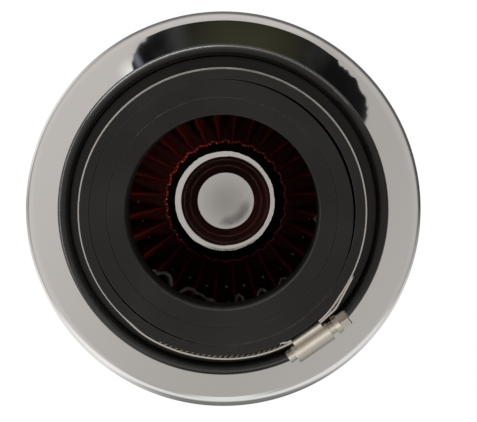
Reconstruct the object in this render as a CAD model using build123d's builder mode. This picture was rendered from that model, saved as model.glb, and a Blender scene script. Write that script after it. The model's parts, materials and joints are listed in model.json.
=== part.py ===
from build123d import *
import math
import os

# A universal cone air filter, standing on its closed end with the neck up.
# Millimetres. Z is the filter's axis, and the origin is the bottom centre of the end cap.

# Stack along the axis, from the end cap up to the neck's mouth
CAP_SHEET = 0.8
RING_RISE = 3.8
POTTING_COVER = 2.4
PLEAT_LENGTH = 119.5
BASE_FLOOR = 2.5
TRIM_SHEET = 1.0
NECK_LENGTH = 40.0

RING_TOP = CAP_SHEET + RING_RISE
POTTING_TOP = RING_TOP + POTTING_COVER
PLEAT_TOP = POTTING_TOP + PLEAT_LENGTH
TRIM_UNDER = PLEAT_TOP + BASE_FLOOR
TRIM_TOP = TRIM_UNDER + TRIM_SHEET
MOUTH_Z = TRIM_TOP + NECK_LENGTH

# Radii of the intake tubes that the neck takes: about 3, 3.5 and 4 inches across
SMALL_TUBE_R = 38.1
SMALL_SLEEVE_WALL = 6.9
LARGE_SLEEVE_WALL = 6.9

MIDDLE_TUBE_R = SMALL_TUBE_R + SMALL_SLEEVE_WALL
LARGE_TUBE_R = MIDDLE_TUBE_R + LARGE_SLEEVE_WALL

# Rubber base: neck, stop for the sleeves, channel for the pleats, bead over the trim ring
NECK_WALL = 3.9
SLEEVE_FIT = 0.1
STOP_SINK = 6.0
STOP_STEP = 0.6
STOP_THICKNESS = 5.0
CHANNEL_WALL = 2.6
CHANNEL_DEPTH = 7.5
LIP_WALL = 1.6
SEAT_STEP = 4.9
BEAD_LAP = 5.9
BEAD_WIDTH = 5.0
BEAD_HEIGHT = 6.5
BEAD_ROUNDING = 2.2
GROOVE_FLOOR = 2.0
RUBBER_EDGE = 0.2

NECK_R = LARGE_TUBE_R + NECK_WALL
STOP_Z = TRIM_TOP - STOP_SINK
STOP_R = SMALL_TUBE_R + STOP_STEP
TRIM_SEAT_R = NECK_R + SEAT_STEP
BEAD_R = TRIM_SEAT_R + BEAD_LAP

# Pleated pack: one thick sheet folded to and fro round the cone
PLEAT_COUNT = 28
PLEAT_DEPTH = 21.6
PLEAT_SHEET = 0.9
FOLD_IN_R = 0.25
PLEAT_TIP_R = 48.8
PLEAT_FIT = 0.4

FOLD_R = FOLD_IN_R + PLEAT_SHEET / 2
CHANNEL_IN_R = LARGE_TUBE_R + CHANNEL_WALL
PLEAT_BASE_R = CHANNEL_IN_R + PLEAT_FIT + PLEAT_DEPTH
PLEAT_TIP_IN_R = PLEAT_TIP_R - PLEAT_DEPTH
CONE_SLOPE = (PLEAT_BASE_R - PLEAT_TIP_R) / PLEAT_LENGTH
CHANNEL_OUT_R = PLEAT_BASE_R + PLEAT_FIT

# Chromed trim ring
TRIM_EDGE_R = 4.0
TRIM_SKIRT = 11.0
TRIM_FIT = 0.5

BASE_R = CHANNEL_OUT_R + LIP_WALL
TRIM_R = BASE_R + TRIM_FIT + TRIM_SHEET

# Chromed end cap, one pressing: skirt, foot ring, raised ring and a sunk disc
CAP_SKIRT = 14.0
CAP_EDGE_R = 4.5
POTTING_SLOPE = 4.3
POTTING_EDGE = 0.7
RING_LAP = 1.7
RING_SHOWN = 2.6
RING_SIDE = 3.9
WALL_RUN = 7.4
PRESS_R = 0.25

CAP_IN_R = PLEAT_TIP_R + CONE_SLOPE * (CAP_SKIRT - POTTING_TOP) + PLEAT_FIT
CAP_R = CAP_IN_R + CAP_SHEET
POTTING_IN_R = PLEAT_TIP_IN_R - POTTING_SLOPE
RING_OUT_R = POTTING_IN_R + RING_LAP
RING_IN_R = POTTING_IN_R - RING_SHOWN
FOOT_IN_R = RING_OUT_R + RING_SIDE
DISC_R = RING_IN_R - WALL_RUN

# Clamp housing, a folded sheet round the screw and the band
HOUSING_ANGLE = -55.5
HOUSING_SHEET = 0.7
BARREL_LENGTH = 16.6
BARREL_OPENING = 130.0
BARREL_LIP = 0.8
LEG_BACK_SET = 2.1
LEG_FRONT_SET = 1.4
TAB_FIT = 0.15
TAB_WIDTH = 5.0
TAB_REACH = 2.9
EDGE_FIT = 0.25

LEG_BACK = BARREL_LENGTH / 2 - LEG_BACK_SET
LEG_FRONT = BARREL_LENGTH / 2 - LEG_FRONT_SET

# Clamp band, round the neck and over itself. Angles are counted from the housing's middle.
MOUTH_TO_BAND = 5.0
BAND_WIDTH = 12.7
BAND_GAUGE = 0.65
BAND_FIT = 0.1
LAYER_GAP = 0.1
STUB_OUT = 4.6
PASS_MARGIN = 1.1
SETTLE_RUN = 19.0
LIFT_END_ANGLE = -62.0
LIFT_RUN = 20.0
LIFT = 0.9
TAIL_STRAIGHT = 7.3
TAIL_KINK_R = 6.0
TAIL_FALL_RUN = 14.5
TAIL_ROUNDING = 3.0
SLOT_PITCH = 2.2
SLOT_COUNT = 40
SLOT_LENGTH = 8.2
SLOT_WIDTH = 0.9
SLOT_SLANT = 8.0
SLOT_MARGIN = 4.0

BAND_Z = MOUTH_Z - MOUTH_TO_BAND - BAND_WIDTH / 2
BAND_STEP = BAND_GAUGE + LAYER_GAP
NECK_BAND_R = NECK_R + BAND_FIT + BAND_GAUGE / 2
INNER_PASS_R = NECK_R + TAB_FIT + HOUSING_SHEET + LAYER_GAP + BAND_GAUGE / 2
OUTER_PASS_R = INNER_PASS_R + BAND_STEP
PASS_ANGLE = math.degrees((LEG_FRONT + PASS_MARGIN) / OUTER_PASS_R)
STUB_ANGLE = -math.degrees((LEG_BACK + STUB_OUT) / INNER_PASS_R)
STUB_BEND_ANGLE = -math.degrees((LEG_BACK + PASS_MARGIN) / INNER_PASS_R)

# Clamp screw
WORM_R = 3.6
WORM_FIT = 0.05
WORM_BAND_GAP = 0.35
WORM_END_FIT = 0.15
SHANK_R = 2.5
SHANK_FIT = 0.1
TIP_OUT = 2.9
COLLAR_GAP = 2.6
COLLAR_LAP = 0.1
COLLAR_THICKNESS = 2.1
HEX_FLATS = 6.3
HEX_LENGTH = 4.4
HEX_CHAMFER = 0.5
DRIVE_SLOT = 1.2
DRIVE_SLOT_DEPTH = 1.8

SCREW_R = OUTER_PASS_R + BAND_GAUGE / 2 + WORM_BAND_GAP + WORM_R
HEX_CORNER_R = HEX_FLATS / math.sqrt(3)
COLLAR_R = HEX_CORNER_R + COLLAR_LAP
COLLAR_START = BARREL_LENGTH / 2 + COLLAR_GAP
HEX_START = COLLAR_START + COLLAR_THICKNESS

os.makedirs("parts", exist_ok=True)


def revolved_outline(corners):
    """Draws a closed section of (radius, height, rounding) corners in the XZ plane."""
    points = [(radius, height) for radius, height, rounding in corners]
    roundings = [rounding for radius, height, rounding in corners]
    FilletPolyline(points, radius=roundings, close=True)


# Rubber base with its neck
inner_lip_z = STOP_Z - STOP_THICKNESS
outer_lip_z = PLEAT_TOP - CHANNEL_DEPTH
inner_lean = CONE_SLOPE * (PLEAT_TOP - inner_lip_z)
outer_lean = CONE_SLOPE * CHANNEL_DEPTH
groove_z = TRIM_TOP + GROOVE_FLOOR
bead_top_z = TRIM_TOP + BEAD_HEIGHT
bead_in_r = BEAD_R - BEAD_WIDTH
with BuildPart() as neck_base:
    with BuildSketch(Plane.XZ):
        with BuildLine():
            revolved_outline(
                [
                    (STOP_R, inner_lip_z, 0),
                    (STOP_R, STOP_Z, 0),
                    (LARGE_TUBE_R, STOP_Z, 0),
                    (LARGE_TUBE_R, MOUTH_Z, RUBBER_EDGE),
                    (NECK_R, MOUTH_Z, RUBBER_EDGE),
                    (NECK_R, groove_z, 0),
                    (bead_in_r, groove_z, 0),
                    (bead_in_r, bead_top_z, BEAD_ROUNDING),
                    (BEAD_R, bead_top_z, BEAD_ROUNDING),
                    (BEAD_R, TRIM_TOP, 0),
                    (TRIM_SEAT_R, TRIM_TOP, 0),
                    (TRIM_SEAT_R, TRIM_UNDER, 0),
                    (BASE_R, TRIM_UNDER, TRIM_EDGE_R),
                    (BASE_R, outer_lip_z, 0),
                    (CHANNEL_OUT_R - outer_lean, outer_lip_z, 0),
                    (CHANNEL_OUT_R, PLEAT_TOP, 0),
                    (CHANNEL_IN_R, PLEAT_TOP, 0),
                    (CHANNEL_IN_R - inner_lean, inner_lip_z, 0),
                ]
            )
        make_face()
    revolve(axis=Axis.Z)
neck_base.part.label = "neck_base"
export_step(neck_base.part, "parts/neck_base.step")


def sleeve_outline(bore_r, outside_r):
    """Draws the section of a plain rubber sleeve that stands on the stop, flush with the mouth."""
    revolved_outline(
        [
            (bore_r, STOP_Z, 0),
            (outside_r, STOP_Z, 0),
            (outside_r, MOUTH_Z, RUBBER_EDGE),
            (bore_r, MOUTH_Z, RUBBER_EDGE),
        ]
    )


# Sleeve that takes the neck down to the middle tube
with BuildPart() as large_reducer:
    with BuildSketch(Plane.XZ):
        with BuildLine():
            sleeve_outline(MIDDLE_TUBE_R, LARGE_TUBE_R - SLEEVE_FIT)
        make_face()
    revolve(axis=Axis.Z)
large_reducer.part.label = "large_reducer"
export_step(large_reducer.part, "parts/large_reducer.step")

# Sleeve that takes it down to the small tube
with BuildPart() as small_reducer:
    with BuildSketch(Plane.XZ):
        with BuildLine():
            sleeve_outline(SMALL_TUBE_R, MIDDLE_TUBE_R - SLEEVE_FIT)
        make_face()
    revolve(axis=Axis.Z)
small_reducer.part.label = "small_reducer"
export_step(small_reducer.part, "parts/small_reducer.step")

# Trim ring, a flat plate under the bead with its edge turned down
with BuildPart() as trim_ring:
    with BuildSketch(Plane.XZ):
        with BuildLine():
            FilletPolyline(
                (TRIM_SEAT_R, TRIM_TOP),
                (TRIM_R, TRIM_TOP),
                (TRIM_R, TRIM_TOP - TRIM_SKIRT),
                radius=TRIM_EDGE_R,
            )
            offset(amount=TRIM_SHEET, side=Side.RIGHT)
        make_face()
    revolve(axis=Axis.Z)
trim_ring.part.label = "trim_ring"
export_step(trim_ring.part, "parts/trim_ring.step")


def polar_point(radius, angle):
    """Gives the point at this radius and angle in a plane across the axis."""
    return Vector(radius * math.cos(math.radians(angle)), radius * math.sin(math.radians(angle)))


def pleat_outline(outside_r, shift):
    """Draws one closed face of the folded sheet, moved out from its middle by shift.

    Outer and inner folds are arcs, and each flank is the line that touches two of them.
    """
    half_step = 180 / PLEAT_COUNT
    fold_outside = FOLD_R + PLEAT_SHEET / 2
    outer_r = FOLD_R + shift
    inner_r = FOLD_R - shift
    crest_centre_r = outside_r - fold_outside
    root_centre_r = outside_r - PLEAT_DEPTH + fold_outside
    crest = polar_point(crest_centre_r, 0)
    root = polar_point(root_centre_r, half_step)
    span = root - crest
    lean = math.degrees(math.acos(2 * FOLD_R / span.length))
    across = span.normalized().rotate(Axis.Z, -lean)
    crest_end = crest + across * outer_r
    root_start = root - across * inner_r
    crest_end_r = crest_end.length
    crest_end_angle = math.degrees(math.atan2(crest_end.Y, crest_end.X))
    root_start_r = root_start.length
    root_start_angle = math.degrees(math.atan2(root_start.Y, root_start.X))
    root_end_angle = 2 * half_step - root_start_angle
    for pleat in range(PLEAT_COUNT):
        turn = 2 * half_step * pleat
        ThreePointArc(
            polar_point(crest_end_r, turn - crest_end_angle),
            polar_point(crest_centre_r + outer_r, turn),
            polar_point(crest_end_r, turn + crest_end_angle),
        )
        Line(
            polar_point(crest_end_r, turn + crest_end_angle),
            polar_point(root_start_r, turn + root_start_angle),
        )
        ThreePointArc(
            polar_point(root_start_r, turn + root_start_angle),
            polar_point(root_centre_r - inner_r, turn + half_step),
            polar_point(root_start_r, turn + root_end_angle),
        )
        Line(
            polar_point(root_start_r, turn + root_end_angle),
            polar_point(crest_end_r, turn + 2 * half_step - crest_end_angle),
        )


# Pleated gauze pack, a cone of folds between the potting and the base's channel
pleat_ends = [(POTTING_TOP, PLEAT_TIP_R), (PLEAT_TOP, PLEAT_BASE_R)]
with BuildPart() as pleated_media:
    for shift, how in [(PLEAT_SHEET / 2, Mode.ADD), (-PLEAT_SHEET / 2, Mode.SUBTRACT)]:
        for end_z, end_r in pleat_ends:
            with BuildSketch(Plane.XY.offset(end_z)):
                with BuildLine():
                    pleat_outline(end_r, shift)
                make_face()
        loft(ruled=True, mode=how)
pleated_media.part.label = "pleated_media"
export_step(pleated_media.part, "parts/pleated_media.step")

# End cap, pressed from one sheet, with a sloping wall from the disc up to the raised ring
pressed_corners = [
    (DISC_R, 0),
    (RING_IN_R, RING_RISE),
    (RING_OUT_R, RING_RISE),
    (FOOT_IN_R, 0),
]
with BuildPart() as end_cap:
    with BuildSketch(Plane.XZ):
        with BuildLine():
            FilletPolyline(
                (0, 0),
                *pressed_corners,
                (CAP_R, 0),
                (CAP_R, CAP_SKIRT),
                radius=[PRESS_R] * len(pressed_corners) + [CAP_EDGE_R],
            )
            offset(amount=CAP_SHEET, side=Side.LEFT)
        make_face()
    revolve(axis=Axis.Z)
end_cap.part.label = "end_cap"
export_step(end_cap.part, "parts/end_cap.step")

# Potting poured into the cap round the ends of the pleats
sheet_shift = CAP_SHEET * math.tan(math.atan2(RING_RISE, RING_SIDE) / 2)
with BuildPart() as end_potting:
    with BuildSketch(Plane.XZ):
        with BuildLine():
            revolved_outline(
                [
                    (POTTING_IN_R, RING_TOP, 0),
                    (RING_OUT_R + sheet_shift, RING_TOP, PRESS_R + CAP_SHEET),
                    (FOOT_IN_R + sheet_shift, CAP_SHEET, 0),
                    (CAP_IN_R, CAP_SHEET, CAP_EDGE_R - CAP_SHEET),
                    (CAP_IN_R, POTTING_TOP, 0),
                    (PLEAT_TIP_IN_R - PLEAT_FIT, POTTING_TOP, RUBBER_EDGE),
                    (POTTING_IN_R, RING_TOP + POTTING_EDGE, POTTING_EDGE / 2),
                ]
            )
        make_face()
    revolve(axis=Axis.Z)
end_potting.part.label = "end_potting"
export_step(end_potting.part, "parts/end_potting.step")


def band_point(radius, angle):
    """Gives a point on the clamp band's middle line, by its angle from the housing."""
    return polar_point(radius, HOUSING_ANGLE + angle)


def band_arc(radius, start, end):
    """Draws a stretch of the band that keeps its radius."""
    CenterArc((0, 0), radius, HOUSING_ANGLE + start, end - start)


def band_ease(start_r, start, end_r, end):
    """Draws a stretch of the band that passes smoothly from one radius to another."""
    middle = band_point((start_r + end_r) / 2, (start + end) / 2)
    leaving = TangentArc(band_point(start_r, start), middle, tangent=band_point(1, start + 90))
    TangentArc(middle, band_point(end_r, end), tangent=leaving % 1)


# Clamp band: from its stub under the housing once round the neck, over itself and out as the tail
lift_r = NECK_BAND_R + LIFT
tail_end_r = NECK_BAND_R + BAND_STEP
settle_angle = PASS_ANGLE + SETTLE_RUN
lift_angle = LIFT_END_ANGLE - LIFT_RUN
kink_angle = PASS_ANGLE + math.degrees(math.atan2(TAIL_STRAIGHT, OUTER_PASS_R))
tail_end_angle = kink_angle + TAIL_FALL_RUN
tail_start = band_point(OUTER_PASS_R, PASS_ANGLE)
tail_kink = tail_start + band_point(TAIL_STRAIGHT, PASS_ANGLE + 90)
slot_reach = (BAND_GAUGE + LAYER_GAP) / 2
with BuildPart() as clamp_band:
    with BuildSketch(Plane.XY.offset(BAND_Z - BAND_WIDTH / 2)):
        with BuildLine() as band_line:
            band_ease(NECK_BAND_R, STUB_ANGLE, INNER_PASS_R, STUB_BEND_ANGLE)
            band_arc(INNER_PASS_R, STUB_BEND_ANGLE, PASS_ANGLE)
            band_ease(INNER_PASS_R, PASS_ANGLE, NECK_BAND_R, settle_angle)
            band_arc(NECK_BAND_R, settle_angle, 360 + lift_angle)
            band_ease(NECK_BAND_R, lift_angle, lift_r, LIFT_END_ANGLE)
            band_ease(lift_r, LIFT_END_ANGLE, OUTER_PASS_R, -PASS_ANGLE)
            band_arc(OUTER_PASS_R, -PASS_ANGLE, PASS_ANGLE)
            FilletPolyline(
                tail_start,
                tail_kink,
                band_point(tail_end_r, tail_end_angle),
                radius=TAIL_KINK_R,
            )
        trace(line_width=BAND_GAUGE)
    extrude(amount=BAND_WIDTH)
    tail_end = band_point(tail_end_r, tail_end_angle) + Vector(0, 0, BAND_Z)
    tail_corners = clamp_band.edges().filter_by(Plane.XY).sort_by_distance(tail_end)[:2]
    fillet(tail_corners, TAIL_ROUNDING)
    band_wire = band_line.wire()
    for slot in range(SLOT_COUNT):
        from_stub = band_wire.length - SLOT_MARGIN - SLOT_PITCH * slot
        place = band_wire.position_at(from_stub, position_mode=PositionMode.LENGTH)
        along = band_wire.tangent_at(from_stub, position_mode=PositionMode.LENGTH)
        facing = along.rotate(Axis.Z, -90)
        with BuildSketch(Plane((place.X, place.Y, BAND_Z), x_dir=(0, 0, 1), z_dir=facing)):
            SlotOverall(SLOT_LENGTH, SLOT_WIDTH, rotation=SLOT_SLANT)
        extrude(amount=slot_reach, both=True, mode=Mode.SUBTRACT)
clamp_band.part.label = "clamp_band"
export_step(clamp_band.part, "parts/clamp_band.step")

# Clamp housing: a barrel round the screw, two legs bent round the band's edges, and tabs under the band.
# In its plane X runs out from the filter's axis and Y across the band.
outward = band_point(1, 0)
along_screw = band_point(1, 90)
housing_plane = Plane((0, 0, BAND_Z), x_dir=outward, z_dir=along_screw)
barrel_mid_r = WORM_R + WORM_FIT + HOUSING_SHEET / 2
barrel_back = -BARREL_LENGTH / 2
barrel_foot = polar_point(barrel_mid_r, BARREL_OPENING)
shoulder_x = SCREW_R + barrel_foot.X
leg_y = BAND_WIDTH / 2 + EDGE_FIT
tab_r = NECK_R + TAB_FIT + HOUSING_SHEET / 2
bend_r = (shoulder_x - tab_r) / 2
with BuildPart() as clamp_housing:
    with BuildSketch(housing_plane.offset(barrel_back)):
        with BuildLine():
            CenterArc((SCREW_R, 0), barrel_mid_r, -BARREL_OPENING, 2 * BARREL_OPENING)
        trace(line_width=HOUSING_SHEET)
    extrude(amount=BARREL_LENGTH)
    for lip_start in (barrel_back, -barrel_back - BARREL_LIP):
        with BuildSketch(housing_plane.offset(lip_start)):
            with Locations((SCREW_R, 0)):
                Circle(barrel_mid_r)
                Circle(SHANK_R + SHANK_FIT, mode=Mode.SUBTRACT)
            with Locations((shoulder_x, 0)):
                Rectangle(
                    2 * barrel_mid_r,
                    2 * barrel_mid_r,
                    align=(Align.MAX, Align.CENTER),
                    mode=Mode.SUBTRACT,
                )
        extrude(amount=BARREL_LIP)
    with BuildSketch(housing_plane.offset(-LEG_BACK)):
        with BuildLine():
            for side in (1, -1):
                Line((shoulder_x, side * barrel_foot.Y), (shoulder_x, side * leg_y))
                ThreePointArc(
                    (shoulder_x, side * leg_y),
                    (tab_r + bend_r, side * (leg_y + bend_r)),
                    (tab_r, side * leg_y),
                )
        trace(line_width=HOUSING_SHEET)
    extrude(amount=LEG_BACK + LEG_FRONT)
    with BuildSketch(housing_plane.offset(-TAB_WIDTH / 2)):
        with BuildLine():
            for side in (1, -1):
                Line((tab_r, side * leg_y), (tab_r, side * (leg_y - TAB_REACH)))
        trace(line_width=HOUSING_SHEET)
    extrude(amount=TAB_WIDTH)
clamp_housing.part.label = "clamp_housing"
export_step(clamp_housing.part, "parts/clamp_housing.step")

# Clamp screw: worm between the barrel's lips, shank, collar and slotted hex head
worm_end = BARREL_LENGTH / 2 - BARREL_LIP - WORM_END_FIT
tip_end = BARREL_LENGTH / 2 + TIP_OUT
screw_plane = housing_plane.shift_origin(outward * SCREW_R + Vector(0, 0, BAND_Z))
with BuildPart() as clamp_screw:
    for start, end, radius in [
        (-tip_end, COLLAR_START, SHANK_R),
        (-worm_end, worm_end, WORM_R),
        (COLLAR_START, HEX_START, COLLAR_R),
    ]:
        with BuildSketch(screw_plane.offset(start)):
            Circle(radius)
        extrude(amount=end - start)
    with BuildSketch(screw_plane.offset(HEX_START)):
        RegularPolygon(HEX_CORNER_R, 6, rotation=90)
    extrude(amount=HEX_LENGTH)
    head_face = clamp_screw.faces().sort_by(Axis((0, 0, 0), along_screw))[-1]
    chamfer(head_face.edges(), HEX_CHAMFER)
    with BuildSketch(screw_plane.offset(HEX_START + HEX_LENGTH)):
        Rectangle(2 * HEX_CORNER_R, DRIVE_SLOT)
    extrude(amount=-DRIVE_SLOT_DEPTH, mode=Mode.SUBTRACT)
clamp_screw.part.label = "clamp_screw"
export_step(clamp_screw.part, "parts/clamp_screw.step")
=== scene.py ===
# %% [markdown]
# # A cone air filter, seen down its open neck
#
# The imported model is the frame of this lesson: every piece already stands at its real place and size, in
# metres, with the filter on its closed end and the neck up. We add what a plain solid can't show: the
# folded gauze with its wire screen, the poured potting, the thin flash inside the neck, and finishes.

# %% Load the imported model
import json
import math
import random

import bpy
from mathutils import Matrix, Vector, noise


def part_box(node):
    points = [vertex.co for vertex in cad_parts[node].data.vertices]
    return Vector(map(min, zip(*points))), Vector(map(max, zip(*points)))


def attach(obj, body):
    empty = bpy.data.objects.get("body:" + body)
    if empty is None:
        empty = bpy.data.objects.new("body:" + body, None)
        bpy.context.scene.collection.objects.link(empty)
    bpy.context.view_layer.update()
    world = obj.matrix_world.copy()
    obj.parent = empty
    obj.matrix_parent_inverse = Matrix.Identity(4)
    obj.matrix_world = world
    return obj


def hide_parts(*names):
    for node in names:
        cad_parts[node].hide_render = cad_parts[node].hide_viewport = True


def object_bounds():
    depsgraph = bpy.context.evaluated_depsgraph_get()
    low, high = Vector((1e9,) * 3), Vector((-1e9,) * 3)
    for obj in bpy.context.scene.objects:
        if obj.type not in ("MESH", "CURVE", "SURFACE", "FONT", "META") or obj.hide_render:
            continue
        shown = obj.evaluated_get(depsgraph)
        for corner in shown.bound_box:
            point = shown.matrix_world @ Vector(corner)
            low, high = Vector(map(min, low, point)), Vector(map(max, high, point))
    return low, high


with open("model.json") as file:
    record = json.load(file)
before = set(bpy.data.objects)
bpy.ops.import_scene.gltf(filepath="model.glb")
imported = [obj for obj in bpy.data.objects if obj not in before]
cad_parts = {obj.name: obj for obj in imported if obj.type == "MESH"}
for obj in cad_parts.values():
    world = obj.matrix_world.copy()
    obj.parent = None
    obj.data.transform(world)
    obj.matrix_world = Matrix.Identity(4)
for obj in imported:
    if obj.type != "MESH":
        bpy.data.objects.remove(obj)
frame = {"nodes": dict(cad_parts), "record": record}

nodes_by_name = frame["nodes"]
cad_low, cad_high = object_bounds()
scene = bpy.context.scene
MM = 0.001
print("pieces in the frame:", sorted(nodes_by_name))
print("size in mm:", [round(1000 * (high - low), 1) for low, high in zip(cad_low, cad_high)])

# %% [markdown]
# ## The camera
#
# The photograph looks almost straight down into the neck, from a little over a metre away with a long lens.
# A guess by eye drifts, so the place and lens were worked out from rings of known size at known heights:
# the trim ring, the bead, the bore and the cap's rings. Three numbers place the camera, two tilt it and one
# is its lens.

# %% Place the camera over the neck
CAMERA_PLACE = (0.01000, 0.03213, 1.19417)
CAMERA_TILT = (math.radians(-1.7644), math.radians(0.2045), 0.0)
CAMERA_LENS = 198.97
bpy.ops.object.select_all(action="DESELECT")
bpy.ops.object.camera_add(location=CAMERA_PLACE, rotation=CAMERA_TILT)
camera = bpy.context.object
camera.name = "camera"
camera.data.sensor_width = 36.0
camera.data.sensor_fit = "HORIZONTAL"
camera.data.lens = CAMERA_LENS
camera.data.clip_end = 20.0
scene.camera = camera
scene.view_settings.view_transform = "Standard"
print("camera", round(CAMERA_PLACE[2] - cad_high.z, 3), "m above the mouth of the neck")

# %% [markdown]
# ## Small helpers for node trees
#
# Every finish below is a handful of nodes. These helpers keep a cell about what it makes: the first adds a
# node with its settings and input values, the next ones add the kinds that come up most, and the last ones
# measure places and make materials.


# %% Helpers that add nodes
def add_node(tree, kind, inputs=None, **settings):
    """Adds a node, sets its properties, and fills inputs with values or links from other sockets."""
    node = tree.nodes.new(kind)
    for name, value in settings.items():
        setattr(node, name, value)
    for name, value in (inputs or {}).items():
        if isinstance(value, bpy.types.NodeSocket):
            tree.links.new(value, node.inputs[name])
        else:
            node.inputs[name].default_value = value
    return node


def math_node(tree, operation, *values):
    """Adds a Math node, fills its inputs in order and gives its output."""
    return add_node(tree, "ShaderNodeMath", dict(enumerate(values)), operation=operation).outputs[0]


def vector_node(tree, operation, *values):
    """Adds a Vector Math node, fills its inputs in order and gives the vector or number that it makes."""
    node = add_node(tree, "ShaderNodeVectorMath", dict(enumerate(values)), operation=operation)
    return node.outputs["Value" if operation in ("DOT_PRODUCT", "LENGTH", "DISTANCE") else "Vector"]


def smooth_step(tree, value, start, end, low=0.0, high=1.0):
    """Adds a Map Range node that eases from low to high as value goes from start to end."""
    inputs = {"Value": value, "From Min": start, "From Max": end, "To Min": low, "To Max": high}
    return add_node(tree, "ShaderNodeMapRange", inputs, interpolation_type="SMOOTHSTEP").outputs["Result"]


def mix_colour(tree, share, first, second):
    """Adds a Mix node for colours and gives its output."""
    return add_node(tree, "ShaderNodeMix", {0: share, 6: first, 7: second}, data_type="RGBA").outputs[2]


def mix_value(tree, share, first, second):
    """Adds a Mix node for numbers and gives its output."""
    return add_node(tree, "ShaderNodeMix", {0: share, 2: first, 3: second}, data_type="FLOAT").outputs[0]


print("node helpers ready")


# %% Helpers for places and materials
def object_place(tree):
    """Gives the object's own coordinates."""
    return add_node(tree, "ShaderNodeTexCoord").outputs["Object"]


def off_axis(tree, place):
    """Gives how far a place is from the upright axis."""
    return vector_node(tree, "LENGTH", vector_node(tree, "MULTIPLY", place, (1, 1, 0)))


def toward(tree, place, angle):
    """Gives how nearly a place lies in the direction of an angle round the axis, one being straight on."""
    direction = vector_node(tree, "NORMALIZE", place)
    return vector_node(tree, "DOT_PRODUCT", direction, (math.cos(angle), math.sin(angle), 0))


def cosine(degrees):
    """Gives the cosine of an angle in degrees."""
    return math.cos(math.radians(degrees))


def new_finish(name):
    """Makes a material and gives it with its node tree and its Principled shader."""
    material = bpy.data.materials.new(name)
    material.use_nodes = True
    tree = material.node_tree
    return material, tree, tree.nodes["Principled BSDF"]


def glow_only(tree, shade):
    """Makes a material glow in this shade and take no light."""
    glow = add_node(tree, "ShaderNodeEmission", {"Color": shade, "Strength": 1.0}).outputs[0]
    tree.links.new(glow, tree.nodes["Material Output"].inputs["Surface"])


print("place and material helpers ready")

# %% [markdown]
# ## Floor and white background
#
# The object stands on a plain pale sweep that the camera sees as white. Flooding it with light would bleach
# the object too, so the floor's own material answers the camera, mirrors and glass with white, and keeps a
# share of its lit surface so that the shadow stays.

# %% Lay the floor
FLOOR_SIZE = 8.0
FLOOR_DROP = 0.0004
FLOOR_LIT_SHARE = 0.03


def seen_directly(tree):
    """Gives one where the camera, a mirror or glass looks, and nought for light that bounces about."""
    rays = add_node(tree, "ShaderNodeLightPath").outputs
    seen = math_node(tree, "MAXIMUM", rays["Is Camera Ray"], rays["Is Glossy Ray"])
    return math_node(tree, "MAXIMUM", seen, rays["Is Transmission Ray"])


bpy.ops.object.select_all(action="DESELECT")
bpy.ops.mesh.primitive_plane_add(size=FLOOR_SIZE, location=(0, 0, -FLOOR_DROP))
floor = bpy.context.object
floor.name = "floor"
floor_paint, tree, shader = new_finish("white_sweep")
shader.inputs["Base Color"].default_value = (0.9, 0.9, 0.9, 1)
shader.inputs["Roughness"].default_value = 0.9
white_share = math_node(tree, "MULTIPLY", seen_directly(tree), 1 - FLOOR_LIT_SHARE)
white = add_node(tree, "ShaderNodeEmission", {"Color": (1, 1, 1, 1), "Strength": 1.0}).outputs[0]
floor_mix = add_node(tree, "ShaderNodeMixShader", {0: white_share, 1: shader.outputs[0], 2: white})
tree.links.new(floor_mix.outputs[0], tree.nodes["Material Output"].inputs["Surface"])
floor.data.materials.append(floor_paint)
print("floor of", FLOOR_SIZE, "m")

# %% Light the background
AMBIENT = 0.8
world = bpy.data.worlds.new("soft_room")
world.use_nodes = True
scene.world = world
tree = world.node_tree
level = mix_value(tree, seen_directly(tree), AMBIENT, 1.0)
tree.links.new(level, tree.nodes["Background"].inputs["Strength"])
tree.nodes["Background"].inputs["Color"].default_value = (1, 1, 1, 1)
print("white background ready")

# %% [markdown]
# ## A light tent for the chrome
#
# Chrome has no colour of its own: it shows the studio. In the photograph the flat ring mirrors a warm grey
# ceiling, paler at the left, and its rolled edge picks up a bright arch from the front of the tent, with a
# dark mouth inside it and a pale gable over it. A small bright spot overhead glints beside the dark shape.
# A dome that only mirror rays can see gives that, and lights nothing else.

# %% Put up the tent
TENT_R = 2.2
TENT_FOOT_Z = 0.01
bpy.ops.object.select_all(action="DESELECT")
bpy.ops.mesh.primitive_uv_sphere_add(segments=48, ring_count=24, radius=TENT_R)
tent = bpy.context.object
tent.name = "light_tent"
bpy.ops.object.mode_set(mode="EDIT")
bpy.ops.mesh.select_all(action="SELECT")
bpy.ops.mesh.bisect(plane_co=(0, 0, 0), plane_no=(0, 0, 1), clear_inner=True)
bpy.ops.object.mode_set(mode="OBJECT")
tent.location.z = TENT_FOOT_Z


def only_in_mirrors(card):
    """Lets only mirror rays see a card, so that it neither shows to the camera nor shades anything."""
    card.visible_camera = False
    card.visible_diffuse = False
    card.visible_transmission = False
    card.visible_shadow = False


only_in_mirrors(tent)
print("tent of", TENT_R, "m radius")

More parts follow.
